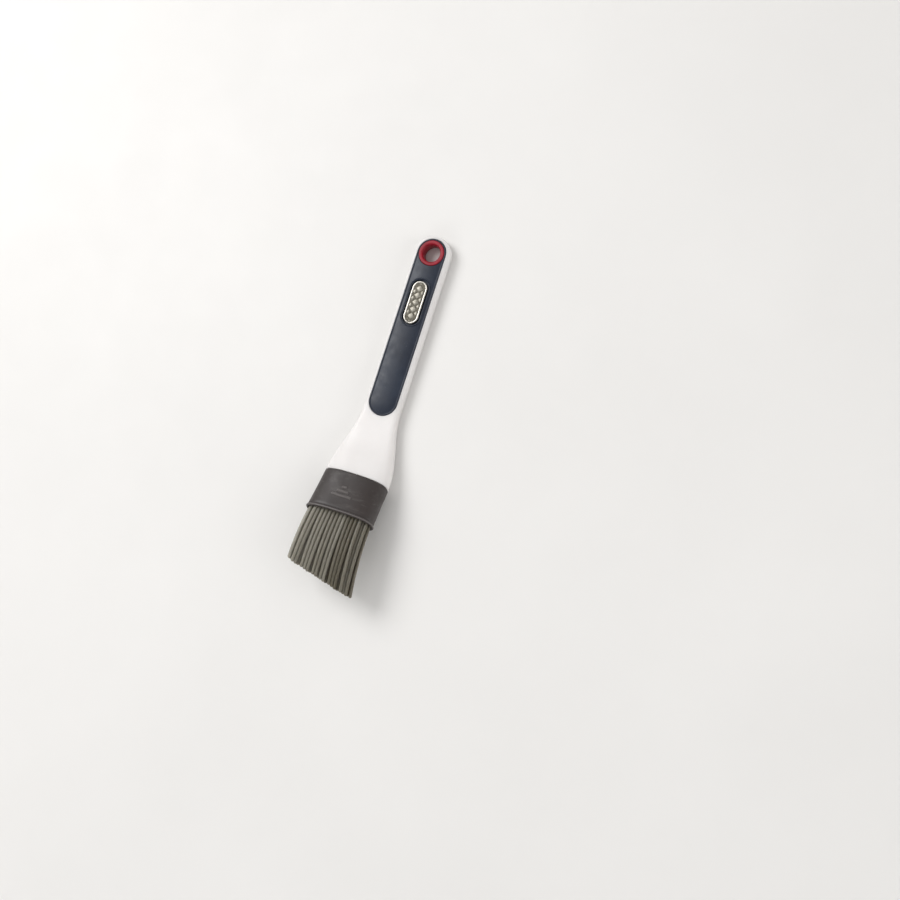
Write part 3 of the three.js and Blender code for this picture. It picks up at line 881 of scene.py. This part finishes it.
def make_row(number, chance):
    """One row of bristles, each a little different, and darker towards +X in painted shade."""
    count = ROW_COUNTS[number - 1]
    out = (number - MIDDLE_ROW) * ROW_PITCH
    shells, tones = [], []
    for i in range(count):
        column = i + (COLUMNS - count) / 2
        place_in_row = i - (count - 1) / 2
        root_x, tip_x = place_in_row * ROOT_PITCH, place_in_row * TIP_PITCH
        lean = clump_pull(column) + chance.uniform(-0.05, 0.05) * MM
        lift = chance.uniform(-0.08, 0.08) * MM - GATHER * out
        trim = chance.uniform(-0.08, 0.12) * MM
        line, length = bristle_line(root_x, tip_x, out, lean, lift, trim)
        shell = bristle_shell(refine_tip(line, length), length)
        shells.append(shell)
        # painted shade: bristles further towards +X are coloured darker and browner, on top of
        # their random tone
        painted_shade = column / (COLUMNS - 1)
        tones += [chance.uniform(0.55, 1.0) - 0.62 * painted_shade] * len(shell[0])
    row = build(f"bristles_{number}", shells, BRISTLE, sharp=60, weld=False)
    paint(row, "tone", tones)
    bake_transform(row)
    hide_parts(f"bristle_row_{number}")


# ---- Assembly -----------------------------------------------------------------------

make_handle()
make_front_grip()
make_badge_line()
make_rear_grip()
make_ring()
make_badge()
make_collar()
make_marks()
dice = random.Random(7)
for row_number in range(1, ROWS + 1):
    make_row(row_number, dice)

pad = frame["nodes"]["badge_adhesive"]
pad.data.materials.clear()
pad.data.materials.append(TAPE)


# ---- Floor, light and camera ----------------------------------------------------------

def floor_material():
    """Pale, and paler still on the backdrop, which the lamps hardly reach."""
    s = Surface("pale_floor", 0.7)
    tint = s.noise(6, detail=4)
    base = s.ramp(tint, (0.3, (0.75, 0.738, 0.722)), (0.7, (0.78, 0.768, 0.752)))
    far = s.span(s.distance(), 0, 1, 1.5, 2.5)
    s.color(s.mix(far, base, (0.97, 0.96, 0.945)))
    s.roughness(s.span(s.noise(40), 0.6, 0.75))
    return s.material


def make_floor():
    """A wide round floor that curves up into a backdrop on every side."""
    flat, bend, top = 1.5, 1.2, 2.0
    profile = [(0.02, 0), (0.3, 0), (0.8, 0)]
    profile += [(flat + bend * c, bend * (1 + s)) for c, s in arc(16, 270, 360)]
    profile.append((flat + bend, top))
    rings = [
        [Vector((radius * c, radius * s, z)) for c, s in circle(96)]
        for radius, z in reversed(profile)
    ]
    ground = build("floor", [skin(rings, cap_first=False)], floor_material())
    ground.data.flip_normals()


def aim(thing, target, up=Vector((0, 1, 0))):
    """Turns a lamp or camera so that its -Z looks at the target, with `up` upwards."""
    back = (thing.location - target).normalized()
    right = up.cross(back).normalized()
    turn = Matrix((right, back.cross(right), back)).transposed()
    thing.rotation_mode = "QUATERNION"
    thing.rotation_quaternion = turn.to_quaternion()


def make_lamp(name, place_at, size, power):
    light = bpy.data.lights.new(name, "AREA")
    light.shape = "DISK"
    light.size = size
    light.energy = power
    lamp = bpy.data.objects.new(name, light)
    lamp.location = place_at
    bpy.context.scene.collection.objects.link(lamp)
    aim(lamp, Vector((0, 0, 0)))


def make_light():
    make_lamp("key", Vector((-0.86, 0.36, 1.04)), 0.85, 12)
    make_lamp("fill", Vector((-0.2, -1.15, 0.75)), 0.8, 2.5)
    make_lamp("side", Vector((1.3, 0.0, 0.55)), 1.0, 5)
    world = bpy.data.worlds.new("studio")
    world.use_nodes = True
    background = world.node_tree.nodes["Background"]
    background.inputs["Color"].default_value = (1, 1, 1, 1)
    background.inputs["Strength"].default_value = 0.56
    bpy.context.scene.world = world


def make_camera():
    data = bpy.data.cameras.new("camera")
    data.lens = 55
    data.sensor_width = 36
    data.clip_start = 0.01
    camera = bpy.data.objects.new("camera", data)
    camera.location = Vector((0.2744, -0.0717, 0.7723))
    bpy.context.scene.collection.objects.link(camera)
    bpy.context.scene.camera = camera
    target, up = Vector((0.0497, -0.0113, 0.012)), Vector((-0.2735, 0.9491, 0.1562))
    aim(camera, target, up)


make_floor()
make_light()
make_camera()
bpy.context.scene.view_settings.view_transform = "Standard"
